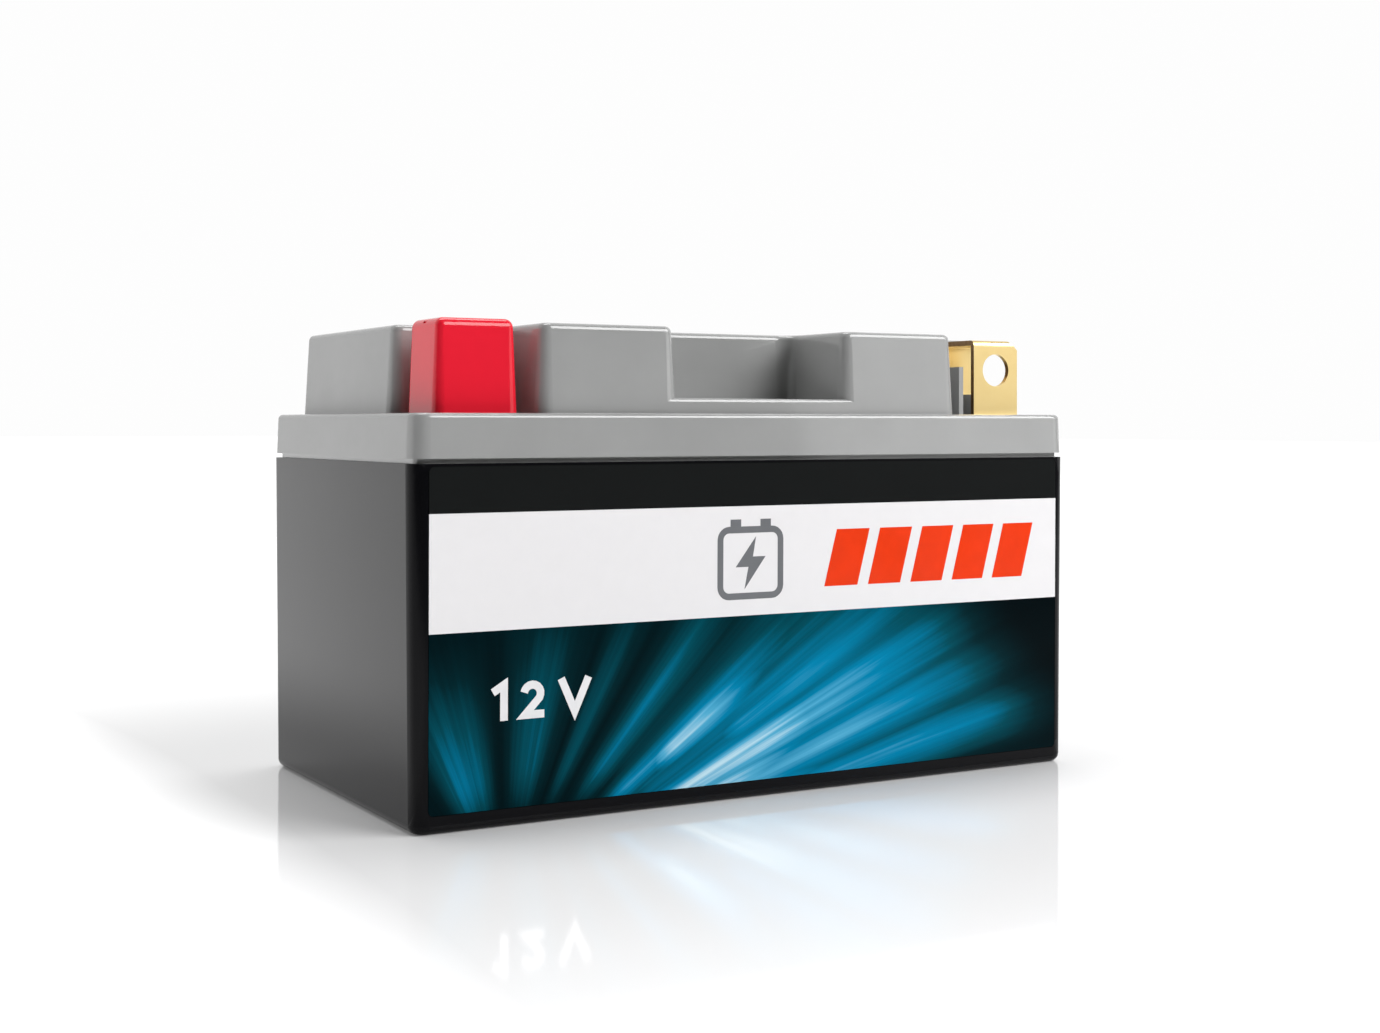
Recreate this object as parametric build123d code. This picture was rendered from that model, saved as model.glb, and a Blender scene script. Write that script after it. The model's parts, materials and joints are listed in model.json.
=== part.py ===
from build123d import *
import os
from math import atan, degrees

# Motorcycle battery, standard 150 x 87 x 93 size.
# Millimetres. Origin at the middle of the base, X along the long side,
# Y from the terminal side (front, -Y) to the back, Z up.

# ---------- driving dimensions ----------
LENGTH = 150.0
WIDTH = 87.0
HEIGHT = 93.0

CASE_TOP = 66.8
CASE_INSET = 0.5          # how much smaller the base is, per side
CASE_RADIUS = 3.5
CASE_WALL = 2.5
CASE_FLOOR = 2.5
CAVITY_RADIUS = 1.5
BASE_FILLET = 1.75
FRONT = -WIDTH / 2

LABEL_LENGTH = 143.5
LABEL_BOTTOM = 3.5
LABEL_TOP = 66.3
LABEL_THICK = 0.3
LABEL_MARGIN = 0.1

GROOVE_HEIGHT = 0.9
GROOVE_DEPTH = 1.3
SKIRT_BOTTOM = CASE_TOP + GROOVE_HEIGHT
SKIRT_INSET = 0.15
DECK = 76.0
DECK_FILLET = 1.0
SKIRT_DRAFT = 2.3
LID_WALL = 2.5
PLUG_BOTTOM = 62.8
PLUG_GAP = 0.2
PLUG_WALL = 1.8
SEAL_BOTTOM = 64.0
SEAL_TOP = 65.6
SEAL_DEPTH = 0.9

# raised comb on the lid: one long platform with two teeth to the front
PLATFORM_X = 70.5
PLATFORM_BACK = 37.0
PLATFORM_FRONT = -19.5
TEETH = ((-49.3, -19.6), (18.0, 47.1))
TEETH_FRONT = -41.0
PLATFORM_DRAFT = 3.2
PLATFORM_RADIUS = 2.8
PLATFORM_FILLET = 1.2
PLATFORM_WALL = 3.0
PLATFORM_CEILING = 89.5
NOTCH_FLOOR = 79.0
NOTCH_FILLET = 0.7
NOTCH_WALL = 2.5
NOTCH_ROOM_X = (-17.5, 14.8)
NOTCH_ROOM_FRONT = -38.0

# terminals: sheet brass bent to an upside-down U, moulded into the lid
TERMINAL_X = 60.3
TERMINAL_FRONT = -37.0
TERMINAL_DEPTH = 12.5
TERMINAL_WIDTH = 11.8
TERMINAL_TOP = 92.15
TERMINAL_SHEET = 1.1
TERMINAL_BEND = 1.25
TERMINAL_CHAMFER = 2.0
TERMINAL_HOLE_R = 3.5
TERMINAL_HOLE_Z = 85.7
FOOT_BOTTOM = 71.5
FOOT_LENGTH = 10.0
PEDESTAL_TOP = 80.4
RIB_X = (50.8, 51.9)
RIB_Y = (-36.5, -26.5)
RIB_TOP = 86.3

CAP_X = -60.5
CAP_SIZE = (16.6, 15.6)
CAP_TOP = 93.6
CAP_BACK = -23.0
CAP_DRAFT = 2.4
CAP_RADIUS = 2.0
CAP_FILLET = 1.6
CAP_ROOM = (13.2, 12.9, 16.25)
NICK = (1.2, 1.6, 0.9)    # moulding mark in the cap's left top edge

# charge indicator in the top of the platform
PANEL_CENTRE = (0.0, 14.0)
PANEL_SIZE = (46.0, 16.0)
PANEL_RADIUS = 3.0
PANEL_GAP = 0.2
PANEL_BOTTOM = 91.0
PANEL_TOP = 92.7
WINDOW_SIZE = (38.0, 9.0)
LENS_X = (-14.0, -7.0, 0.0)
LENS_SIZE = (4.0, 3.0)
BUTTON_X = 11.0
BUTTON_R = 3.2
BUTTON_GAP = 0.3
BUTTON_FLANGE_R = 4.0
BUTTON_BOTTOM = 88.1
INDICATOR_BOARD = (52.0, 14.0, 84.4, 86.0)
SWITCH_TOP = 87.4
BOSS_X = 22.5
BOSS_R = 2.6
BOSS_HOLE_TOP = 89.0
SCREW_R = 1.0
SCREW_LENGTH = 4.4
SCREW_HEAD_R = 2.0
SCREW_HEAD = 1.2

# cell pack: four pairs in series, the cells standing
CELL_R = 13.1
CELL_BOTTOM = 5.3
CELL_TOP = 70.6
CELL_PITCH = 30.0
CELL_COLUMNS = tuple(CELL_PITCH * (number - 1.5) for number in range(4))
CELL_ROWS = (-CELL_PITCH / 2, CELL_PITCH / 2)
POSITIVE_UP = (True, False, True, False)
HOLDER_SIZE = (122.0, 62.0, 8.0)
HOLDER_HOLE_R = 13.2
STRIP_WIDTH = 10.0
STRIP_THICK = 0.3
LEAD_THICK = 0.6
FOAM_TOP = 60.0
FOAM_GAP = 0.2
BASE_PAD_TOP = 4.5
TOP_PAD = (100.0, 36.0, 71.3, 75.5)
BALANCER_CENTRE_Y = 6.0
BALANCER_THICK = 1.6
WIRE_R = 0.7


# ---------- small helpers ----------
def block(x, y, z):
    """Box between three pairs of limits."""
    size = [pair[1] - pair[0] for pair in (x, y, z)]
    middle = [(pair[0] + pair[1]) / 2 for pair in (x, y, z)]
    return Pos(*middle) * Box(*size)


def plate(length, width, radius, bottom, top, taper=0.0, centre=(0.0, 0.0)):
    """Upright block with rounded corners; taper is degrees of inward lean."""
    outline = Pos(centre[0], centre[1], bottom) * RectangleRounded(length, width, radius)
    return extrude(outline, top - bottom, taper=taper)


def peg(x, y, bottom, top, radius):
    """Round upright pin."""
    return Pos(x, y, (bottom + top) / 2) * Cylinder(radius, top - bottom)


def edges_along(shape, axis, point, reach=0.3):
    """Edges parallel to an axis that pass close to a point of the plane across it."""
    first, second = [i for i in range(3) if tuple(axis.direction)[i] == 0]
    found = []
    for edge in shape.edges().filter_by(axis):
        centre = tuple(edge.center())
        if abs(centre[first] - point[0]) < reach and abs(centre[second] - point[1]) < reach:
            found.append(edge)
    return found


# ---------- case and label ----------
def front_plane(height):
    """Plane on the leaning front face of the case, at a height, facing out."""
    inset = CASE_INSET * (1 - height / CASE_TOP)
    normal = (0, -CASE_TOP, -CASE_INSET)
    return Plane(origin=(0, FRONT + inset, height), x_dir=(1, 0, 0), z_dir=normal)


def label_sheet(margin):
    middle = front_plane((LABEL_BOTTOM + LABEL_TOP) / 2)
    tall = LABEL_TOP - LABEL_BOTTOM
    outline = RectangleRounded(LABEL_LENGTH + 2 * margin, tall + 2 * margin, 1.0 + margin)
    return extrude(middle * outline, -LABEL_THICK)


def make_case():
    lean = degrees(atan(CASE_INSET / CASE_TOP))
    shell = plate(
        LENGTH - 2 * CASE_INSET,
        WIDTH - 2 * CASE_INSET,
        CASE_RADIUS - CASE_INSET,
        0,
        CASE_TOP,
        -lean,
    )
    shell = fillet(shell.faces().sort_by(Axis.Z)[0].edges(), BASE_FILLET)
    room = plate(
        LENGTH - 2 * CASE_WALL,
        WIDTH - 2 * CASE_WALL,
        CAVITY_RADIUS,
        CASE_FLOOR,
        CASE_TOP + 1,
    )
    return shell - room - label_sheet(LABEL_MARGIN)


def make_label():
    return label_sheet(0.0)


# ---------- lid ----------
def comb_outline(grow=0.0, teeth=TEETH):
    """Platform outline with its teeth, moved inwards when grow is negative."""
    points = [(-PLATFORM_X - grow, PLATFORM_BACK + grow)]
    points.append((-PLATFORM_X - grow, PLATFORM_FRONT - grow))
    for left, right in teeth:
        points.append((left - grow, PLATFORM_FRONT - grow))
        points.append((left - grow, TEETH_FRONT - grow))
        points.append((right + grow, TEETH_FRONT - grow))
        points.append((right + grow, PLATFORM_FRONT - grow))
    points.append((PLATFORM_X + grow, PLATFORM_FRONT - grow))
    points.append((PLATFORM_X + grow, PLATFORM_BACK + grow))
    outline = make_face(Polyline(*points, close=True))
    return fillet(outline.vertices(), PLATFORM_RADIUS if grow == 0 else 1.0)


def lid_skirt():
    body = plate(
        LENGTH - 2 * SKIRT_INSET,
        WIDTH - 2 * SKIRT_INSET,
        CASE_RADIUS,
        SKIRT_BOTTOM,
        DECK,
        SKIRT_DRAFT,
    )
    body = fillet(body.faces().sort_by(Axis.Z)[-1].edges(), DECK_FILLET)
    neck = plate(
        LENGTH - 2 * GROOVE_DEPTH,
        WIDTH - 2 * GROOVE_DEPTH,
        CASE_RADIUS - GROOVE_DEPTH,
        CASE_TOP,
        SKIRT_BOTTOM,
    )
    shrink = CASE_WALL + PLUG_GAP
    plug = plate(LENGTH - 2 * shrink, WIDTH - 2 * shrink, 1.3, PLUG_BOTTOM, CASE_TOP)
    return body + neck + plug


def lid_platform():
    body = extrude(Pos(0, 0, DECK) * comb_outline(), HEIGHT - DECK, taper=PLATFORM_DRAFT)
    return fillet(body.faces().sort_by(Axis.Z)[-1].edges(), PLATFORM_FILLET)


def notch_floor():
    """Low web between the teeth, flush with their fronts."""
    whole = comb_outline(teeth=((TEETH[0][0], TEETH[1][1]),))
    web = extrude(Pos(0, 0, DECK) * whole, NOTCH_FLOOR - DECK, taper=PLATFORM_DRAFT)
    front_edge = web.faces().sort_by(Axis.Z)[-1].edges().filter_by(Axis.X).sort_by(Axis.Y)[0]
    return fillet(front_edge, NOTCH_FILLET)


def terminal_side(side):
    """Limits in X of the terminal on one side (+1 negative, -1 positive)."""
    return (side * TERMINAL_X - TERMINAL_WIDTH / 2, side * TERMINAL_X + TERMINAL_WIDTH / 2)


def back_plate(side):
    """Limits in X of the top and back plates, which end short on the outer side."""
    x0, x1 = terminal_side(side)
    if side > 0:
        return (x0, x1 - TERMINAL_CHAMFER)
    return (x0 + TERMINAL_CHAMFER, x1)


def pedestal(side):
    front = TERMINAL_FRONT + TERMINAL_SHEET
    back = TERMINAL_FRONT + TERMINAL_DEPTH - TERMINAL_SHEET
    return block(terminal_side(side), (front, back), (DECK, PEDESTAL_TOP))


def terminal_slot(side):
    back = TERMINAL_FRONT + TERMINAL_DEPTH
    return block(back_plate(side), (back - TERMINAL_SHEET, back), (FOOT_BOTTOM, PEDESTAL_TOP))


def lid_hollow():
    shrink = CASE_WALL + PLUG_GAP + PLUG_WALL
    lower = plate(LENGTH - 2 * shrink, WIDTH - 2 * shrink, 0.8, PLUG_BOTTOM, DECK - LID_WALL)
    upper = Pos(0, 0, DECK - LID_WALL) * comb_outline(-PLATFORM_WALL)
    room_back = PLATFORM_FRONT + PLATFORM_WALL + 0.1
    room_z = (DECK - LID_WALL, NOTCH_FLOOR - NOTCH_WALL)
    notch = block(NOTCH_ROOM_X, (NOTCH_ROOM_FRONT, room_back), room_z)
    return lower + extrude(upper, PLATFORM_CEILING - DECK + LID_WALL) + notch


def seal_ring():
    outer = plate(LENGTH - 2 * CASE_WALL, WIDTH - 2 * CASE_WALL, CAVITY_RADIUS, SEAL_BOTTOM, SEAL_TOP)
    shrink = CASE_WALL + SEAL_DEPTH
    return outer - plate(LENGTH - 2 * shrink, WIDTH - 2 * shrink, 0.6, SEAL_BOTTOM, SEAL_TOP)


def make_lid():
    lid = lid_skirt() + lid_platform() + notch_floor()
    lid += pedestal(1)
    lid += pedestal(-1)
    lid += block(RIB_X, RIB_Y, (DECK, RIB_TOP))
    lid -= lid_hollow()
    x, y = PANEL_CENTRE
    seat = [size + PANEL_GAP for size in PANEL_SIZE]
    lid -= plate(*seat, PANEL_RADIUS + PANEL_GAP / 2, PANEL_BOTTOM, HEIGHT, 0, PANEL_CENTRE)
    lid -= plate(*WINDOW_SIZE, 1.0, PLATFORM_CEILING, PANEL_BOTTOM, 0, PANEL_CENTRE)
    for side in (-1, 1):
        lid += peg(x + side * BOSS_X, y, INDICATOR_BOARD[3], PLATFORM_CEILING, BOSS_R)
        lid -= peg(x + side * BOSS_X, y, INDICATOR_BOARD[3], BOSS_HOLE_TOP, SCREW_R)
        lid -= terminal_slot(side)
    return lid - seal_ring()


# ---------- terminals and cap ----------
def make_terminal(side):
    wide = terminal_side(side)
    narrow = back_plate(side)
    front = TERMINAL_FRONT
    back = front + TERMINAL_DEPTH
    sheet = TERMINAL_SHEET
    inner_top = TERMINAL_TOP - sheet
    part = block(wide, (front, back), (DECK, TERMINAL_TOP))
    part -= block(wide, (front + sheet, back - sheet), (DECK, inner_top))
    part += block(narrow, (back - sheet, back), (FOOT_BOTTOM, DECK))
    part += block(narrow, (back - sheet, back + FOOT_LENGTH), (FOOT_BOTTOM, FOOT_BOTTOM + sheet))
    outside = edges_along(part, Axis.X, (front, TERMINAL_TOP))
    outside += edges_along(part, Axis.X, (back, TERMINAL_TOP))
    outside += edges_along(part, Axis.X, (back - sheet, FOOT_BOTTOM))
    part = fillet(outside, TERMINAL_BEND)
    inside = edges_along(part, Axis.X, (front + sheet, inner_top))
    inside += edges_along(part, Axis.X, (back - sheet, inner_top))
    inside += edges_along(part, Axis.X, (back, FOOT_BOTTOM + sheet))
    part = fillet(inside, TERMINAL_BEND - sheet)
    part -= outer_corner(side)
    part -= terminal_holes(side)
    return part


def outer_corner(side):
    """Clipped corner of the front plate, and the gap behind it."""
    edge = side * TERMINAL_X + side * TERMINAL_WIDTH / 2
    cut = TERMINAL_CHAMFER
    triangle = Polyline(
        (edge - side * cut, TERMINAL_TOP),
        (edge + side, TERMINAL_TOP + 1),
        (edge + side, TERMINAL_TOP - cut - 1),
        close=True,
    )
    wedge = extrude(Plane.XZ * make_face(triangle), 60)
    limits = sorted((edge - side * cut, edge))
    back = TERMINAL_FRONT + TERMINAL_DEPTH
    gap = block(limits, (TERMINAL_FRONT + TERMINAL_BEND, back), (DECK, TERMINAL_TOP))
    return wedge + gap


def terminal_holes(side):
    across = Pos(side * TERMINAL_X, TERMINAL_FRONT, TERMINAL_HOLE_Z) * Rot(X=90)
    front = across * Cylinder(TERMINAL_HOLE_R, 4)
    middle = TERMINAL_FRONT + TERMINAL_DEPTH / 2
    top_x = side * (TERMINAL_X - TERMINAL_CHAMFER / 2)
    return front + peg(top_x, middle, TERMINAL_TOP - 3, TERMINAL_TOP + 1, TERMINAL_HOLE_R)


def make_cap():
    centre = (CAP_X, CAP_BACK - CAP_SIZE[1] / 2)
    body = plate(*CAP_SIZE, CAP_RADIUS, DECK, CAP_TOP, CAP_DRAFT, centre)
    body = fillet(body.faces().sort_by(Axis.Z)[-1].edges(), CAP_FILLET)
    room = plate(CAP_ROOM[0], CAP_ROOM[1], 0.5, DECK, DECK + CAP_ROOM[2], 0, centre)
    left = centre[0] - CAP_SIZE[0] / 2
    side = (centre[1] - NICK[1] / 2, centre[1] + NICK[1] / 2)
    nick = block((left, left + NICK[0]), side, (CAP_TOP - NICK[2], CAP_TOP))
    return body - room - nick


# ---------- charge indicator ----------
def make_panel():
    x, y = PANEL_CENTRE
    panel = plate(*PANEL_SIZE, PANEL_RADIUS, PANEL_BOTTOM, PANEL_TOP, 0, PANEL_CENTRE)
    panel = chamfer(panel.faces().sort_by(Axis.Z)[-1].edges(), 0.4)
    for dx in LENS_X:
        panel -= plate(*LENS_SIZE, 0.5, PANEL_BOTTOM, PANEL_TOP, 0, (x + dx, y))
    return panel - peg(x + BUTTON_X, y, PANEL_BOTTOM, PANEL_TOP, BUTTON_R + BUTTON_GAP)


def make_lens(number):
    centre = (PANEL_CENTRE[0] + LENS_X[number], PANEL_CENTRE[1])
    window = plate(LENS_SIZE[0] - 0.1, LENS_SIZE[1] - 0.1, 0.45, PANEL_BOTTOM, PANEL_TOP, 0, centre)
    return window + plate(5.2, 4.2, 0.5, 88.0, PANEL_BOTTOM, 0, centre)


def make_button():
    x, y = PANEL_CENTRE
    stem = peg(x + BUTTON_X, y, BUTTON_BOTTOM, PANEL_TOP, BUTTON_R)
    stem = fillet(stem.edges().sort_by(Axis.Z)[-1], 0.4)
    return stem + peg(x + BUTTON_X, y, PANEL_BOTTOM - 1.2, PANEL_BOTTOM, BUTTON_FLANGE_R)


def make_indicator_board():
    x, y = PANEL_CENTRE
    length, width, bottom, top = INDICATOR_BOARD
    board = plate(length, width, 1.0, bottom, top, 0, PANEL_CENTRE)
    for side in (-1, 1):
        board -= peg(x + side * BOSS_X, y, bottom, top, SCREW_R + 0.2)
    return board


def make_lamp(number):
    centre = (PANEL_CENTRE[0] + LENS_X[number], PANEL_CENTRE[1])
    return plate(3.0, 2.0, 0.3, INDICATOR_BOARD[3], INDICATOR_BOARD[3] + 1.2, 0, centre)


def make_switch():
    x, y = PANEL_CENTRE
    body = plate(6.2, 6.2, 0.6, INDICATOR_BOARD[3], SWITCH_TOP, 0, (x + BUTTON_X, y))
    return chamfer(body.faces().sort_by(Axis.Z)[-1].edges(), 0.3)


def make_board_screw(side):
    x = PANEL_CENTRE[0] + side * BOSS_X
    y = PANEL_CENTRE[1]
    bottom = INDICATOR_BOARD[2]
    head_z = (bottom - SCREW_HEAD, bottom)
    slot_z = (bottom - SCREW_HEAD, bottom - SCREW_HEAD / 2)
    shank = peg(x, y, bottom, bottom + SCREW_LENGTH, SCREW_R)
    head = peg(x, y, *head_z, SCREW_HEAD_R)
    head = fillet(head.edges().sort_by(Axis.Z)[0], 0.4)
    slot = block((x - 1.4, x + 1.4), (y - 0.25, y + 0.25), slot_z)
    cross = block((x - 0.25, x + 0.25), (y - 1.4, y + 1.4), slot_z)
    return shank + head - slot - cross


# ---------- cell pack ----------
def make_cell(column, row):
    x = CELL_COLUMNS[column]
    y = CELL_ROWS[row]
    length = CELL_TOP - CELL_BOTTOM
    can = Cylinder(CELL_R, length - 1.0, align=(Align.CENTER, Align.CENTER, Align.MIN))
    can = fillet(can.edges(), 0.6)
    crimp = Cylinder(CELL_R + 1, 1.2) - Cylinder(CELL_R - 0.5, 1.2)
    can -= Pos(0, 0, length - 4.5) * crimp
    nub = Cylinder(4.5, 1.0, align=(Align.CENTER, Align.CENTER, Align.MIN))
    cell = can + Pos(0, 0, length - 1.0) * nub
    if POSITIVE_UP[column]:
        return Pos(x, y, CELL_BOTTOM) * cell
    return Pos(x, y, CELL_TOP) * Rot(X=180) * cell


def make_holder(bottom):
    holder = plate(HOLDER_SIZE[0], HOLDER_SIZE[1], 4.0, bottom, bottom + HOLDER_SIZE[2])
    for x in CELL_COLUMNS:
        for y in CELL_ROWS:
            holder -= peg(x, y, bottom, bottom + HOLDER_SIZE[2], HOLDER_HOLE_R)
    return holder


def make_strip(columns, bottom):
    """Flat strip over the ends of one pair of cells, or bridging two pairs."""
    centre_y = CELL_ROWS[1] + STRIP_WIDTH / 2
    strip = None
    for column in columns:
        x = CELL_COLUMNS[column]
        bar = plate(STRIP_WIDTH, 2 * centre_y, 1.5, bottom, bottom + STRIP_THICK, 0, (x, 0))
        strip = bar if strip is None else strip + bar
    if len(columns) == 2:
        first, last = [CELL_COLUMNS[column] for column in columns]
        for y in CELL_ROWS:
            middle = ((first + last) / 2, y)
            strip += plate(last - first, STRIP_WIDTH, 1.5, bottom, bottom + STRIP_THICK, 0, middle)
    return strip


def make_lead(side):
    """Copper bar from an end strip to the foot of a terminal."""
    outer = side * (TERMINAL_X + TERMINAL_WIDTH / 2)
    inner = side * (CELL_COLUMNS[-1] - STRIP_WIDTH / 2 - 1)
    back = TERMINAL_FRONT + TERMINAL_DEPTH
    x0, x1 = sorted((outer, inner))
    y0, y1 = back + 1.0, back + FOOT_LENGTH
    bottom = FOOT_BOTTOM - LEAD_THICK
    centre = ((x0 + x1) / 2, (y0 + y1) / 2)
    return plate(x1 - x0, y1 - y0, 1.0, bottom, FOOT_BOTTOM, 0, centre)


def make_side_foam(side):
    cavity_x = LENGTH / 2 - CASE_WALL - FOAM_GAP
    cavity_y = WIDTH / 2 - CASE_WALL - FOAM_GAP
    holder_x = HOLDER_SIZE[0] / 2
    width = cavity_x - holder_x
    centre = (side * (cavity_x + holder_x) / 2, 0)
    return plate(width, 2 * cavity_y, 2.0, CASE_FLOOR, FOAM_TOP, 0, centre)


def make_long_foam(side):
    cavity_y = WIDTH / 2 - CASE_WALL - FOAM_GAP
    holder_y = HOLDER_SIZE[1] / 2
    width = cavity_y - holder_y
    centre = (0, side * (cavity_y + holder_y) / 2)
    return plate(HOLDER_SIZE[0] - 2 * FOAM_GAP, width, 2.0, CASE_FLOOR, FOAM_TOP, 0, centre)


def make_base_pad():
    return plate(HOLDER_SIZE[0] - 1, HOLDER_SIZE[1] - 1, 2.0, CASE_FLOOR, BASE_PAD_TOP)


def make_base_insulator():
    return plate(HOLDER_SIZE[0] - 1, HOLDER_SIZE[1] - 1, 2.0, BASE_PAD_TOP, CELL_BOTTOM - STRIP_THICK)


def make_top_insulator():
    bottom = CELL_TOP + STRIP_THICK
    return plate(72.0, HOLDER_SIZE[1], 2.0, bottom, TOP_PAD[2])


def make_top_pad():
    return plate(68.0, TOP_PAD[1], 2.0, TOP_PAD[2], TOP_PAD[3], 0, (0, BALANCER_CENTRE_Y))


def make_balancer_board():
    top = TOP_PAD[3] + BALANCER_THICK
    board = plate(TOP_PAD[0], TOP_PAD[1], 1.5, TOP_PAD[3], top, 0, (0, BALANCER_CENTRE_Y))
    for x in (-46.0, 46.0):
        for y in (-8.0, 20.0):
            board -= peg(x, y, TOP_PAD[3], top, 1.6)
    return board


def make_resistor(number):
    """Bleed resistor of one cell pair."""
    bottom = TOP_PAD[3] + BALANCER_THICK
    centre = (CELL_COLUMNS[number] * 0.7, 15.0)
    body = plate(12.0, 6.0, 0.8, bottom, bottom + 2.4, 0, centre)
    return chamfer(body.faces().sort_by(Axis.Z)[-1].edges(), 0.4)


def make_chip():
    bottom = TOP_PAD[3] + BALANCER_THICK
    body = plate(10.0, 8.0, 0.4, bottom, bottom + 1.6, 0, (-12.0, 2.0))
    for x in (-15.0, -13.0, -11.0, -9.0):
        for y in (-2.0, 6.0):
            body += block((x - 0.25, x + 0.25), (y - 0.9, y + 0.9), (bottom, bottom + 0.5))
    return body


def make_plug_socket():
    bottom = TOP_PAD[3] + BALANCER_THICK
    body = block((8.0, 24.0), (-1.0, 5.0), (bottom, bottom + 6.0))
    room = block((9.0, 23.0), (0.0, 4.0), (bottom + 1.5, bottom + 6.0))
    return body - room


def make_ribbon():
    """Flat lead from the balancer board up to the indicator board."""
    x0, x1 = 27.5, 33.5
    low = TOP_PAD[3] + BALANCER_THICK
    high = INDICATOR_BOARD[2]
    ribbon = block((x0, x1), (8.0, 8.8), (low, high - 1.0))
    ribbon += block((x0 - 4.0, x1), (8.0, 12.0), (high - 1.8, high - 1.0))
    return ribbon + block((x0 - 4.0, x0 - 2.0), (8.0, 12.0), (high - 1.0, high))


def make_sense_wire(column):
    """Thin wire from a top strip round the end of the pad to the balancer board."""
    side = 1 if column > 1 else -1
    x = CELL_COLUMNS[column] - side * 3.0
    low = CELL_TOP + STRIP_THICK + WIRE_R
    high = TOP_PAD[3] + BALANCER_THICK + WIRE_R
    points = ((x, 3, low), (x + side * 11, 3, low), (x + side * 11, 3, high), (x, 3, high))
    path = FilletPolyline(*points, radius=2.0)
    section = Plane(origin=path @ 0, z_dir=path % 0) * Circle(WIRE_R)
    return sweep(section, path=path)


# ---------- all pieces ----------
def all_parts():
    low_strip = CELL_BOTTOM - STRIP_THICK
    parts = {
        "case": make_case(),
        "front_label": make_label(),
        "lid": make_lid(),
        "lid_seal": seal_ring(),
        "negative_terminal": make_terminal(1),
        "positive_terminal": make_terminal(-1),
        "positive_terminal_cap": make_cap(),
        "indicator_panel": make_panel(),
        "indicator_button": make_button(),
        "indicator_board": make_indicator_board(),
        "indicator_switch": make_switch(),
        "board_screw_left": make_board_screw(-1),
        "board_screw_right": make_board_screw(1),
        "cell_holder_bottom": make_holder(CELL_BOTTOM),
        "cell_holder_top": make_holder(CELL_TOP - HOLDER_SIZE[2]),
        "strip_positive_end": make_strip((0,), CELL_TOP),
        "strip_pairs_2_3": make_strip((1, 2), CELL_TOP),
        "strip_negative_end": make_strip((3,), CELL_TOP),
        "strip_pairs_1_2": make_strip((0, 1), low_strip),
        "strip_pairs_3_4": make_strip((2, 3), low_strip),
        "positive_lead": make_lead(-1),
        "negative_lead": make_lead(1),
        "foam_left": make_side_foam(-1),
        "foam_right": make_side_foam(1),
        "foam_front": make_long_foam(-1),
        "foam_back": make_long_foam(1),
        "base_pad": make_base_pad(),
        "base_insulator": make_base_insulator(),
        "top_insulator": make_top_insulator(),
        "top_pad": make_top_pad(),
        "balancer_board": make_balancer_board(),
        "balancer_chip": make_chip(),
        "balancer_socket": make_plug_socket(),
        "indicator_ribbon": make_ribbon(),
        "sense_wire_positive": make_sense_wire(0),
        "sense_wire_negative": make_sense_wire(3),
    }
    for number in range(3):
        parts[f"indicator_lens_{number + 1}"] = make_lens(number)
        parts[f"indicator_lamp_{number + 1}"] = make_lamp(number)
    for number in range(4):
        parts[f"bleed_resistor_{number + 1}"] = make_resistor(number)
    for column in range(4):
        for row in range(2):
            parts[f"cell_{2 * column + row + 1}"] = make_cell(column, row)
    return parts


os.makedirs("parts", exist_ok=True)
for name, shape in all_parts().items():
    export_step(shape, f"parts/{name}.step")
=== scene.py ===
import json
from math import atan, cos, pi, radians, sin

import bpy
from mathutils import Matrix, Vector


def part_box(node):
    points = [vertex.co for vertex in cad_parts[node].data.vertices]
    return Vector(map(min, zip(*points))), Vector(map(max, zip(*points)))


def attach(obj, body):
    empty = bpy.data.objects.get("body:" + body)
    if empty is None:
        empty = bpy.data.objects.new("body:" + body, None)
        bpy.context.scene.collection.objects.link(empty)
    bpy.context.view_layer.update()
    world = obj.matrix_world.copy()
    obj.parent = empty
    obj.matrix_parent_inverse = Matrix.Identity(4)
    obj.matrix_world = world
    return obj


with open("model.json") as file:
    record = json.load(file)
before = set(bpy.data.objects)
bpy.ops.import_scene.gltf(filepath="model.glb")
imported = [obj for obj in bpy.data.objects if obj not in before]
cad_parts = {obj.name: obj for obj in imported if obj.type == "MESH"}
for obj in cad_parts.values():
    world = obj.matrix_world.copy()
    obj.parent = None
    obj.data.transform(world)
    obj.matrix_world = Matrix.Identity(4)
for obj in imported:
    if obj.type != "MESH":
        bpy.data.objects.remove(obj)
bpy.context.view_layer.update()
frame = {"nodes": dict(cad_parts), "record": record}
NODES = frame["nodes"]
MM = 0.001

# ---------- camera ----------
CAMERA_PLACE = Vector((-192.7, -366.6, 73.8)) * MM
CAMERA_TURN = radians(31.55)
CAMERA_LENS = 49.36
CAMERA_SENSOR = 36
CAMERA_SHIFT = (-0.0783, -0.0664)
CAMERA_NEAR = 0.01

# ---------- the case's front, where the label is ----------
CASE_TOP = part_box("case")[1].z
CASE_FRONT = 43.5 * MM              # from the middle to the front, at the case's top
CASE_INSET = 0.5 * MM               # the case's walls lean in by this much at its base
LEAN = atan(CASE_INSET / CASE_TOP)
PRINT_THICK = 0.03 * MM             # how far a printed mark stands on the label

# ---------- the label's print ----------
BLUE_TOP = 36.2 * MM
WHITE_TOP = 57.8 * MM
BAND_BLACK = (0.010, 0.011, 0.011)
BAND_WHITES = ((0.77, 0.76, 0.77), (0.80, 0.79, 0.80))
FILM_ROUGHNESS = (0.18, 0.27)

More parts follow.
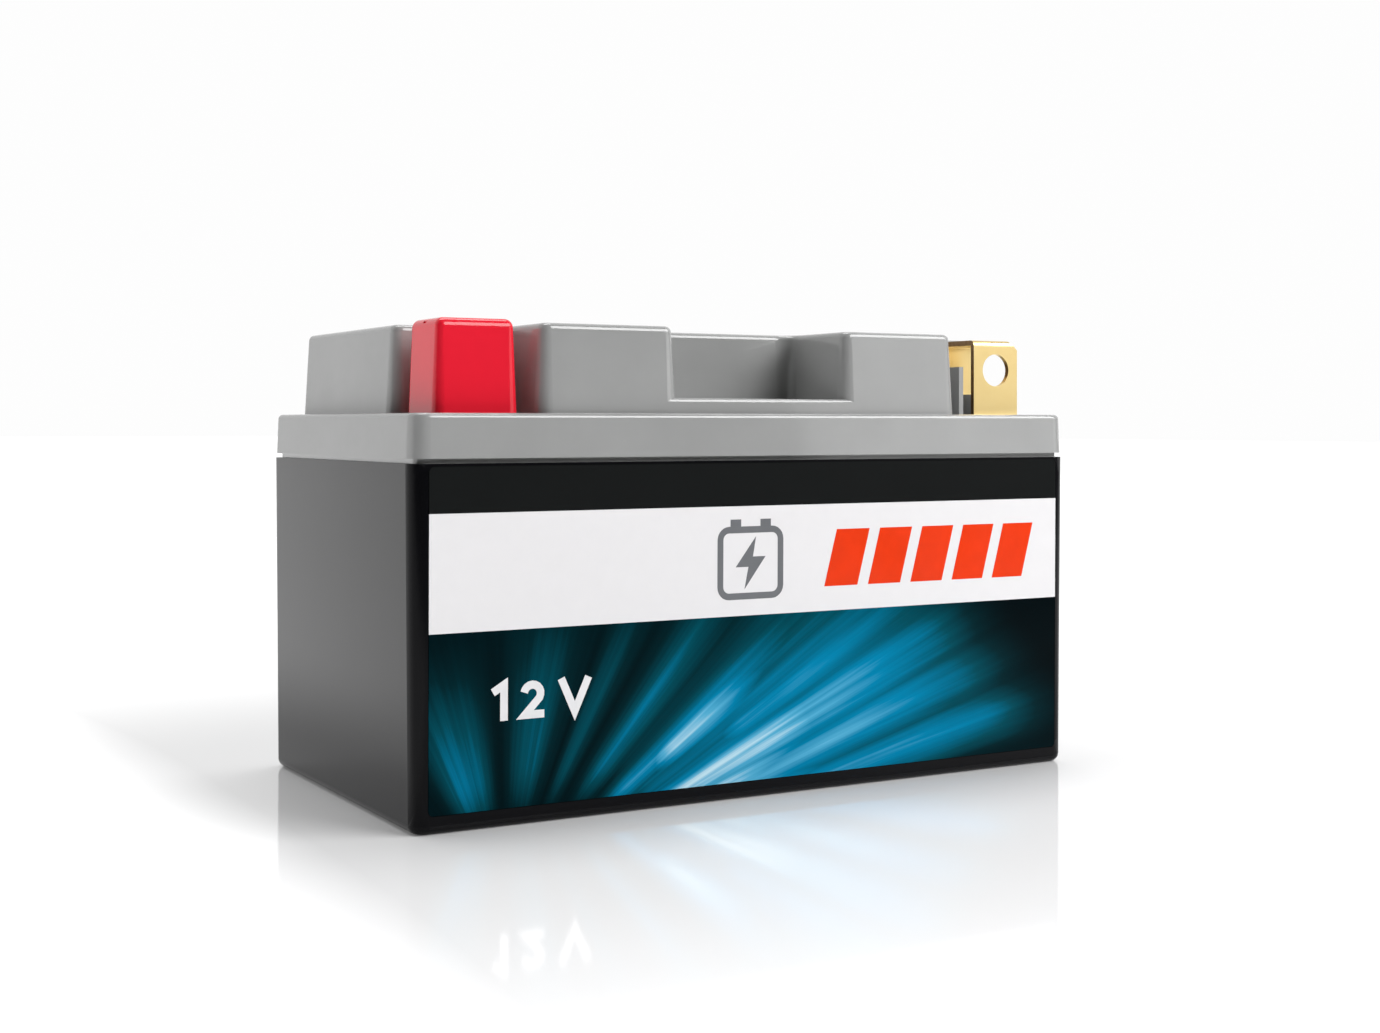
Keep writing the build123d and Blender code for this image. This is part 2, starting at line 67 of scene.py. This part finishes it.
# where the rays meet; then each ray's direction in degrees, half width in degrees,
# strength, and where it starts and ends, in mm from the place where they meet
RAYS_X = -57.0 * MM
RAYS_Z = -14.0 * MM
RAYS = (
    (27.0, 26.0, 0.50, 22, 150),
    (24.5, 7.5, 0.78, 30, 150),
    (24.5, 7.5, 1.06, 24, 112),
    (30.0, 5.0, 0.70, 44, 128),
    (37.5, 8.0, 0.64, 18, 106),
    (36.5, 7.0, 0.96, 30, 84),
    (18.5, 5.5, 0.76, 40, 156),
    (13.0, 5.0, 0.70, 46, 160),
    (19.0, 14.0, 0.90, 22, 96),
    (50.0, 8.0, 0.38, 18, 96),
    (63.0, 6.0, 0.26, 14, 80),
    (80.0, 13.0, 0.32, 12, 66),
    (108.0, 17.0, 0.50, 10, 52),
)
RAY_RISE = 14                       # mm in which a ray reaches its full strength
RAY_FADE = 0.3                      # a ray starts to fade at this part of its length
RAY_HAZE = 0.05                     # light between the rays
RAY_COLOURS = (
    (0.0, (0.0, 0.002, 0.003)),
    (0.14, (0.0, 0.018, 0.024)),
    (0.32, (0.0, 0.066, 0.095)),
    (0.6, (0.0, 0.215, 0.40)),
    (0.8, (0.09, 0.42, 0.64)),
    (1.0, (0.55, 0.78, 0.88)),
)
# fine streaks and broad patches: noise per degree and per metre, and the light it leaves
STREAKS = (0.8, 9.0)
STREAK_LIGHT = (0.84, 1.12)
PATCHES = (0.22, 14.0)
PATCH_LIGHT = (0.78, 1.12)
PATCH_OFFSET = 5.0
# the right end of the blue band gets dark, along a slanted line
DARK_END = (62 * MM, 92 * MM)
DARK_END_LIGHT = (1.0, 0.05)
DARK_END_SLANT = 0.9

NOISE_SPAN = (0.3, 0.7)             # the values that a noise mostly has


# ---------- node helpers ----------
class Nodes:
    """Short ways to add nodes to a node tree."""

    def __init__(self, tree):
        self.tree = tree

    def node(self, kind, **settings):
        made = self.tree.nodes.new(kind)
        for name, value in settings.items():
            setattr(made, name, value)
        return made

    def link(self, source, target):
        """Join a socket, or set a plain number."""
        if isinstance(source, (int, float)):
            target.default_value = source
        else:
            self.tree.links.new(source, target)

    def coordinates(self, kind):
        return self.node("ShaderNodeTexCoord").outputs[kind]

    def math(self, operation, *values, clamp=False):
        made = self.node("ShaderNodeMath", operation=operation, use_clamp=clamp)
        for value, socket in zip(values, made.inputs):
            self.link(value, socket)
        return made.outputs[0]

    def length(self, first, second):
        """How long a step is that goes this far along two axes."""
        squares = [self.math("POWER", value, 2) for value in (first, second)]
        return self.math("SQRT", self.math("ADD", *squares))

    def parts(self, vector):
        split = self.node("ShaderNodeSeparateXYZ")
        self.link(vector, split.inputs[0])
        return split.outputs

    def vector(self, x, y, z):
        made = self.node("ShaderNodeCombineXYZ")
        for value, socket in zip((x, y, z), made.inputs):
            self.link(value, socket)
        return made.outputs[0]

    def ramp(self, source, stops):
        """Colours at positions along a value."""
        made = self.node("ShaderNodeValToRGB")
        elements = made.color_ramp.elements
        while len(elements) < len(stops):
            elements.new(0.5)
        for element, (position, colour) in zip(elements, stops):
            element.position = position
            element.color = (*colour, 1)
        self.link(source, made.inputs[0])
        return made.outputs[0]

    def spread(self, source, span, levels=(0.0, 1.0), smooth=False):
        """A value moved from one span to another, and held at its ends."""
        made = self.node("ShaderNodeMapRange")
        if smooth:
            made.interpolation_type = "SMOOTHSTEP"
        # sockets 1 to 4 are the ends of the two spans
        for value, socket in zip((*span, *levels), list(made.inputs)[1:5]):
            socket.default_value = value
        self.link(source, made.inputs[0])
        return made.outputs[0]


class Paint(Nodes):
    """A Principled material."""

    def __init__(self, name, colour, roughness, metallic=0.0, ior=1.5):
        self.material = bpy.data.materials.new(name)
        self.material.use_nodes = True
        super().__init__(self.material.node_tree)
        self.shader = self.tree.nodes["Principled BSDF"]
        self.level("Base Color", (*colour, 1))
        self.level("Roughness", roughness)
        self.level("Metallic", metallic)
        self.level("IOR", ior)
        self.place = self.coordinates("Object")

    def level(self, name, value):
        self.shader.inputs[name].default_value = value

    def stretched(self, x, y, z):
        """The place with each axis multiplied."""
        made = self.node("ShaderNodeMapping")
        made.inputs["Scale"].default_value = (x, y, z)
        self.link(self.place, made.inputs["Vector"])
        return made.outputs[0]

    def noise(self, scale, detail=3.0, roughness=0.55, vector=None):
        made = self.node("ShaderNodeTexNoise")
        made.inputs["Scale"].default_value = scale
        made.inputs["Detail"].default_value = detail
        made.inputs["Roughness"].default_value = roughness
        self.link(vector or self.place, made.inputs["Vector"])
        return made.outputs["Fac"]

    def mix(self, amount, first, second):
        made = self.node("ShaderNodeMix", data_type="RGBA")
        self.link(amount, made.inputs["Factor"])
        # sockets 6 and 7 take the colours, and socket 2 gives the mixed one
        for colour, socket in ((first, made.inputs[6]), (second, made.inputs[7])):
            if isinstance(colour, tuple):
                socket.default_value = (*colour, 1)
            else:
                self.link(colour, socket)
        return made.outputs[2]

    def colour(self, source):
        self.link(source, self.shader.inputs["Base Color"])

    def colours(self, source, low, high, span=NOISE_SPAN):
        """Go from one colour to another along a value."""
        self.colour(self.ramp(source, tuple(zip(span, (low, high)))))

    def roughness(self, source, low, high):
        """Go from one roughness to another along a noise."""
        self.link(self.spread(source, NOISE_SPAN, (low, high)), self.shader.inputs["Roughness"])

    def bump(self, height, distance, strength):
        made = self.node("ShaderNodeBump")
        made.inputs["Distance"].default_value = distance
        made.inputs["Strength"].default_value = strength
        self.link(height, made.inputs["Height"])
        self.link(made.outputs[0], self.shader.inputs["Normal"])


def shade(colour, amount):
    return tuple(min(1.0, c * amount) for c in colour)


# ---------- materials ----------
def moulded(name, colour, roughness, specular=None, grain=0.02):
    """Injection-moulded plastic: fine grain (its height in mm), soft clouds and smears."""
    paint = Paint(name, colour, roughness)
    paint.colours(paint.noise(scale=45, detail=4), shade(colour, 0.95), shade(colour, 1.05))
    smear = paint.noise(scale=60, detail=4, roughness=0.6)
    paint.roughness(smear, roughness * 0.92, roughness * 1.08)
    paint.bump(paint.noise(scale=1600, detail=2), distance=grain * MM, strength=0.35)
    if specular is not None:
        paint.level("Specular IOR Level", specular)
    return paint.material


def metal(name, colour, roughness):
    """Sheet or turned metal with fine lines across it."""
    paint = Paint(name, colour, roughness, metallic=1.0)
    lines = paint.noise(scale=1, detail=3, roughness=0.6, vector=paint.stretched(200, 2400, 200))
    paint.colours(lines, shade(colour, 0.9), shade(colour, 1.05))
    paint.roughness(lines, roughness * 0.8, roughness * 1.3)
    paint.bump(lines, distance=0.01 * MM, strength=0.3)
    return paint.material


def brass():
    """Satin brass sheet; its faces that face along X, the sheared edges, are painted dark brown
    as painted shade.
    """
    paint = Paint("terminal_brass", (0.86, 0.63, 0.24), 0.3, metallic=1.0)
    cloud = paint.noise(scale=220)
    face = paint.mix(cloud, (0.88, 0.66, 0.28), (0.93, 0.73, 0.35))
    normal = paint.parts(paint.coordinates("Normal"))
    # painted shade: faces turned along X are painted dark brown, varied by a noise
    side_shade_mask = paint.spread(paint.math("ABSOLUTE", normal[0]), (0.75, 0.95))
    torn = paint.noise(scale=900)
    side_shade = paint.mix(torn, (0.16, 0.09, 0.04), (0.36, 0.23, 0.12))
    paint.colour(paint.mix(side_shade_mask, face, side_shade))
    paint.roughness(paint.noise(scale=120), 0.29, 0.35)
    return paint.material


def rays(paint, angle, reach):
    """The light of all the rays: each place takes the brightest ray on it."""
    glow = None
    for centre, width, strength, near, far in RAYS:
        away = paint.math("ABSOLUTE", paint.math("SUBTRACT", angle, centre))
        beam = paint.spread(away, (0.0, width), (1.0, 0.0), smooth=True)
        beam = paint.math("MULTIPLY", beam, strength)
        start = paint.spread(reach, (near * MM, (near + RAY_RISE) * MM), smooth=True)
        fade_from = (RAY_FADE * far + (1 - RAY_FADE) * near) * MM
        stop = paint.spread(reach, (fade_from, far * MM), (1.0, 0.0), smooth=True)
        beam = paint.math("MULTIPLY", beam, paint.math("MULTIPLY", start, stop))
        glow = beam if glow is None else paint.math("MAXIMUM", glow, beam)
    return glow


def ray_noise(paint, angle, reach, scales, detail, roughness, offset):
    """Noise drawn out along the rays."""
    turn, out = scales
    place = paint.vector(
        paint.math("MULTIPLY", angle, turn), paint.math("MULTIPLY", reach, out), offset
    )
    return paint.noise(scale=1, detail=detail, roughness=roughness, vector=place)


def label_film():
    """Printed film: black band, white band, and a field of blue rays below."""
    paint = Paint("label_print", (0.5, 0.5, 0.5), 0.22)
    paint.level("Specular IOR Level", 0.03)
    x, _, z = paint.parts(paint.place)
    across = paint.math("SUBTRACT", x, RAYS_X)
    up = paint.math("SUBTRACT", z, RAYS_Z)
    angle = paint.math("MULTIPLY", paint.math("ARCTAN2", up, across), 180 / pi)
    reach = paint.length(across, up)

    fine = ray_noise(paint, angle, reach, STREAKS, detail=4, roughness=0.6, offset=0.0)
    broad = ray_noise(paint, angle, reach, PATCHES, detail=3, roughness=0.5, offset=PATCH_OFFSET)
    streaks = paint.spread(fine, NOISE_SPAN, STREAK_LIGHT)
    patches = paint.spread(broad, NOISE_SPAN, PATCH_LIGHT)
    light = paint.math("ADD", rays(paint, angle, reach), RAY_HAZE)
    light = paint.math("MULTIPLY", light, paint.math("MULTIPLY", streaks, patches), clamp=True)
    slant = paint.math("ADD", x, paint.math("MULTIPLY", z, DARK_END_SLANT))
    dark_end = paint.spread(slant, DARK_END, DARK_END_LIGHT, smooth=True)
    field = paint.ramp(paint.math("MULTIPLY", light, dark_end), RAY_COLOURS)

    white = paint.mix(paint.noise(scale=300), *BAND_WHITES)
    above_blue = paint.math("GREATER_THAN", z, BLUE_TOP)
    above_white = paint.math("GREATER_THAN", z, WHITE_TOP)
    paint.colour(paint.mix(above_white, paint.mix(above_blue, field, white), BAND_BLACK))
    paint.roughness(paint.noise(scale=90, detail=4), *FILM_ROUGHNESS)
    paint.bump(paint.noise(scale=700, detail=2), distance=0.006 * MM, strength=0.3)
    return paint.material


def foam():
    paint = Paint("foam_dark", (0.05, 0.05, 0.055), 0.95)
    cells = paint.noise(scale=1500, detail=4, roughness=0.7)
    paint.colours(cells, (0.02, 0.02, 0.022), (0.08, 0.08, 0.085), span=(0.35, 0.65))
    paint.bump(cells, distance=0.2 * MM, strength=0.8)
    return paint.material


def circuit_board():
    """Green board with faint tracks."""
    paint = Paint("circuit_green", (0.02, 0.14, 0.05), 0.3)
    tracks = paint.noise(scale=1, detail=1, roughness=0.2, vector=paint.stretched(420, 900, 10))
    paint.colours(tracks, (0.015, 0.12, 0.04), (0.03, 0.2, 0.07), span=(0.5, 0.52))
    paint.bump(tracks, distance=0.03 * MM, strength=0.5)
    return paint.material


def clear_lens():
    paint = Paint("lens_clear", (0.8, 0.9, 0.82), 0.12, ior=1.49)
    paint.level("Transmission Weight", 0.7)
    paint.colours(paint.noise(scale=300, detail=2), (0.7, 0.84, 0.74), (0.85, 0.93, 0.86))
    return paint.material


def ink(name, colour):
    paint = Paint(name, colour, 0.22, ior=1.3)
    paint.colours(paint.noise(scale=260), shade(colour, 0.96), shade(colour, 1.04))
    paint.roughness(paint.noise(scale=90, detail=4), *FILM_ROUGHNESS)
    return paint.material


MATERIALS = {
    "case": moulded("case_black", (0.004, 0.004, 0.005), 0.16, specular=0.10, grain=0.015),
    "lid": moulded("lid_grey", (0.328, 0.331, 0.328), 0.07, specular=0.8),
    "seal": moulded("seal_rubber", (0.03, 0.03, 0.03), 0.6),
    "label": label_film(),
    "terminal": brass(),
    "cap": moulded("cap_red", (0.77, 0.015, 0.034), 0.10, specular=0.45),
    "panel": moulded("panel_black", (0.014, 0.014, 0.016), 0.2),
    "button": moulded("button_grey", (0.22, 0.22, 0.23), 0.5),
    "lens": clear_lens(),
    "lamp": moulded("lamp_yellow", (0.75, 0.66, 0.2), 0.25),
    "board": circuit_board(),
    "component": moulded("component_black", (0.02, 0.02, 0.02), 0.45),
    "screw": metal("screw_steel", (0.6, 0.6, 0.6), 0.3),
    "cell": moulded("cell_film_blue", (0.02, 0.16, 0.42), 0.2),
    "holder": moulded("holder_black", (0.04, 0.04, 0.04), 0.5),
    "strip": metal("strip_nickel", (0.66, 0.64, 0.6), 0.32),
    "lead": metal("lead_copper", (0.85, 0.45, 0.28), 0.3),
    "foam": foam(),
    "insulator": moulded("insulator_card", (0.7, 0.66, 0.52), 0.7),
    "socket": moulded("socket_cream", (0.8, 0.79, 0.72), 0.45),
    "wire": moulded("wire_red", (0.45, 0.015, 0.015), 0.4),
}
INK_GREY = ink("ink_grey", (0.16, 0.165, 0.175))
INK_ORANGE = ink("ink_orange", (0.78, 0.040, 0.004))
INK_WHITE = ink("ink_white", (0.80, 0.80, 0.81))


def dress(piece, material):
    piece.data.materials.clear()
    piece.data.materials.append(material)


for entry in frame["record"]["subparts"]:
    dress(NODES[entry["node"]], MATERIALS[entry["material_slot"]])


# ---------- adding objects ----------
def add_object(name, data):
    made = bpy.data.objects.new(name, data)
    bpy.context.scene.collection.objects.link(made)
    return made


def add_mesh(name, points, faces, material):
    data = bpy.data.meshes.new(name)
    data.from_pydata(points, [], faces)
    piece = add_object(name, data)
    dress(piece, material)
    return piece


# ---------- printed marks on the label ----------
def on_label(x, z):
    """Matrix that stands a drawing, made in X and Y, on the label at a place."""
    y = -CASE_FRONT + CASE_INSET * (1 - z / CASE_TOP)
    lean = Matrix.Rotation(pi / 2 + LEAN, 4, "X")
    return Matrix.Translation((x, y, z)) @ lean


def is_clockwise(outline):
    area = 0.0
    for (x, z), (next_x, next_z) in zip(outline, outline[1:] + outline[:1]):
        area += x * next_z - next_x * z
    return area < 0


def printed(name, outlines, x, z, material):
    """A printed mark at a place in mm: flat closed outlines with the thickness of ink."""
    stand = on_label(x * MM, z * MM)
    points, faces = [], []
    for outline in outlines:
        if is_clockwise(outline):
            outline = outline[::-1]
        count = len(outline)
        low = [len(points) + i for i in range(count)]
        high = [i + count for i in low]
        for height in (0, PRINT_THICK):
            points += [stand @ Vector((px * MM, pz * MM, height)) for px, pz in outline]
        faces += [low[::-1], high]
        faces += [(low[i - 1], low[i], high[i], high[i - 1]) for i in range(count)]
    piece = add_mesh(name, points, faces, material)
    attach(piece, "battery")


def rounded(width, height, radius, steps=6):
    """Corner points of a rounded rectangle about its own middle."""
    points = []
    corners = ((1, 1, 0), (-1, 1, 90), (-1, -1, 180), (1, -1, 270))
    for sx, sy, start in corners:
        cx = sx * (width / 2 - radius)
        cy = sy * (height / 2 - radius)
        for step in range(steps + 1):
            angle = radians(start + 90 * step / steps)
            points.append((cx + radius * cos(angle), cy + radius * sin(angle)))
    return points


def rounded_frame(width, height, band, radius):
    """A rounded frame as two halves, so each outline stays simple."""
    outer = rounded(width, height, radius)
    inner = rounded(width - 2 * band, height - 2 * band, radius - band)
    half = len(outer) // 2
    halves = []
    for start in (half // 2, half // 2 + half):
        run = [(start + i) % len(outer) for i in range(half + 1)]
        halves.append([outer[i] for i in run] + [inner[i] for i in reversed(run)])
    return halves


# slanted bars, in mm
BAR_COUNT = 5
BAR_START = 12.0
BAR_PITCH = 10.6
BAR_WIDTH = 8.0
BAR_HEIGHT = 11.5
BAR_SLANT = 3.0
BAR_MIDDLE = 46.9
for number in range(BAR_COUNT):
    left = BAR_START + number * BAR_PITCH
    bar = [
        (left, -BAR_HEIGHT / 2),
        (left + BAR_WIDTH, -BAR_HEIGHT / 2),
        (left + BAR_WIDTH + BAR_SLANT, BAR_HEIGHT / 2),
        (left + BAR_SLANT, BAR_HEIGHT / 2),
    ]
    printed(f"label_bar_{number + 1}", [bar], 0, BAR_MIDDLE, INK_ORANGE)

# battery sign, in mm about its own middle
SIGN_PLACE = (-5.2, 46.6)
SIGN_WIDTH = 15.0
SIGN_HEIGHT = 14.4
SIGN_BAND = 1.3
SIGN_RADIUS = 2.6
BOLT = [(1.2, 5.2), (-3.4, -0.8), (-0.5, -0.8), (-1.4, -5.2), (3.4, 1.2), (0.5, 1.2)]
POLES = [
    [(-4.6, 7.2), (-2.2, 7.2), (-2.2, 8.6), (-4.6, 8.6)],
    [(2.2, 7.2), (4.6, 7.2), (4.6, 8.6), (2.2, 8.6)],
]
sign = rounded_frame(SIGN_WIDTH, SIGN_HEIGHT, SIGN_BAND, SIGN_RADIUS) + [BOLT] + POLES
printed("label_battery_sign", sign, *SIGN_PLACE, INK_GREY)

# voltage, in mm from its lower left corner
VOLTAGE_PLACE = (-59.5, 19.6)
PEN = 1.5
ONE = [(0.0, 5.3), (2.2, 6.6), (2.2, 0.0)]
TWO_LEFT = 5.4
TWO_WIDTH = 4.8
TWO_HEIGHT = 7.0
TWO_BOW = range(170, -31, -20)      # directions in degrees from the bow's middle
TWO_FOOT_IN = 0.62                  # of the pen, where the foot starts
VEE = [(13.6, 7.0), (16.4, 0.7), (19.2, 7.0)]
SHARPEST_BEND = 0.35                # keeps the corner of a sharp bend short


def stroke(points):
    """Outline of a pen stroke of even weight along a line of points."""
    line = [Vector(point) for point in points]
    left, right = [], []
    for i, point in enumerate(line):
        before = (line[i] - line[i - 1]).normalized() if i else None
        after = (line[i + 1] - line[i]).normalized() if i + 1 < len(line) else None
        along = ((before or after) + (after or before)).normalized()
        side = Vector((-along.y, along.x))
        bend = max(SHARPEST_BEND, along.dot(before or after))
        left.append(tuple(point + side * PEN / 2 / bend))
        right.append(tuple(point - side * PEN / 2 / bend))
    return left + right[::-1]


def two():
    """The figure 2: a bow, a slanted back and a foot."""
    radius = (TWO_WIDTH - PEN) / 2
    x = TWO_LEFT + TWO_WIDTH / 2
    z = TWO_HEIGHT - PEN / 2 - radius
    bow = [(x + radius * cos(radians(a)), z + radius * sin(radians(a))) for a in TWO_BOW]
    foot = [(TWO_LEFT + PEN * TWO_FOOT_IN, PEN / 2), (TWO_LEFT + TWO_WIDTH, PEN / 2)]
    return stroke(bow + foot)


printed("label_voltage", [stroke(ONE), two(), stroke(VEE)], *VOLTAGE_PLACE, INK_WHITE)

# ---------- floor, light, camera ----------
FLOOR_HALF = 6.0
FLOOR_FRONT = 0.30                  # how far the floor reaches in front of the object
FLOOR_COLOUR = (0.77, 0.77, 0.775)
# painted light: the floor glows, along X at the left where the object's shadow falls, and by
# distance from the middle
GLOW_LEFT = ((-0.14, -0.076), (0.75, 0.0))
GLOW_FAR = ((0.10, 0.35), (0.10, 0.5))

# paper all around: dark towards the camera, bright behind the object, along Y from 0 to 1
PAPER_DARK = (0.46, (0.03, 0.03, 0.03))
PAPER_BRIGHT = (0.60, (1, 1, 1))
PAPER_STRENGTH = 0.86
PAPER_SEEN = (0.985, 0.985, 0.985, 1)

# name, place, target, size in m and power in W
LIGHTS = (
    ("top_soft", (0.0, 0.15, 0.9), (0, 0, 0), (0.6, 0.35), 3.5),
    ("front_soft", (0.42, -0.52, 0.54), (0, -0.03, 0.06), (0.7, 0.45), 7.3),
    ("card_right", (0.74, -0.66, 0.22), (0, -0.03, 0.22), (0.62, 0.36), 0.84),
)


def make_floor():
    paint = Paint("floor_white", FLOOR_COLOUR, 0.07, ior=1.45)
    x, y, _ = paint.parts(paint.place)
    left = paint.spread(x, *GLOW_LEFT, smooth=True)
    far = paint.spread(paint.length(x, y), *GLOW_FAR, smooth=True)
    # painted light: the floor's emission fills in the object's shadow at the left and lifts the
    # far floor
    paint.level("Emission Color", (1, 1, 1, 1))
    paint.link(paint.math("MAXIMUM", left, far), paint.shader.inputs["Emission Strength"])
    front, back = -FLOOR_FRONT, 2 * FLOOR_HALF - FLOOR_FRONT
    corners = [
        (-FLOOR_HALF, front, 0), (FLOOR_HALF, front, 0),
        (FLOOR_HALF, back, 0), (-FLOOR_HALF, back, 0),
    ]
    floor = add_mesh("floor", corners, [(0, 1, 2, 3)], paint.material)


def make_light(name, place, target, size, power):
    data = bpy.data.lights.new(name, "AREA")
    data.shape = "RECTANGLE"
    data.size, data.size_y = size
    data.energy = power
    light = add_object(name, data)
    light.location = place
    aim = Vector(target) - Vector(place)
    light.rotation_euler = aim.to_track_quat("-Z", "Y").to_euler()


def make_world():
    """Bright paper behind the object, darkness on the camera's side."""
    world = bpy.data.worlds.new("studio")
    world.use_nodes = True
    bpy.context.scene.world = world
    studio = Nodes(world.node_tree)
    background = studio.tree.nodes["Background"]
    y = studio.parts(studio.coordinates("Generated"))["Y"]
    shown = studio.ramp(studio.spread(y, (-1, 1)), (PAPER_DARK, PAPER_BRIGHT))
    studio.link(shown, background.inputs["Color"])
    background.inputs["Strength"].default_value = PAPER_STRENGTH
    paper = studio.node("ShaderNodeBackground")
    paper.inputs["Color"].default_value = PAPER_SEEN
    path = studio.node("ShaderNodeLightPath")
    choose = studio.node("ShaderNodeMixShader")
    studio.link(path.outputs["Is Camera Ray"], choose.inputs[0])
    studio.link(background.outputs[0], choose.inputs[1])
    studio.link(paper.outputs[0], choose.inputs[2])
    studio.link(choose.outputs[0], studio.tree.nodes["World Output"].inputs["Surface"])


def make_camera():
    data = bpy.data.cameras.new("camera")
    data.sensor_width = CAMERA_SENSOR
    data.lens = CAMERA_LENS
    data.shift_x, data.shift_y = CAMERA_SHIFT
    data.clip_start = CAMERA_NEAR
    camera = add_object("camera", data)
    camera.location = CAMERA_PLACE
    camera.rotation_euler = (pi / 2, 0, -CAMERA_TURN)
    bpy.context.scene.camera = camera


make_floor()
make_world()
for light in LIGHTS:
    make_light(*light)
make_camera()
bpy.context.scene.view_settings.view_transform = "Standard"
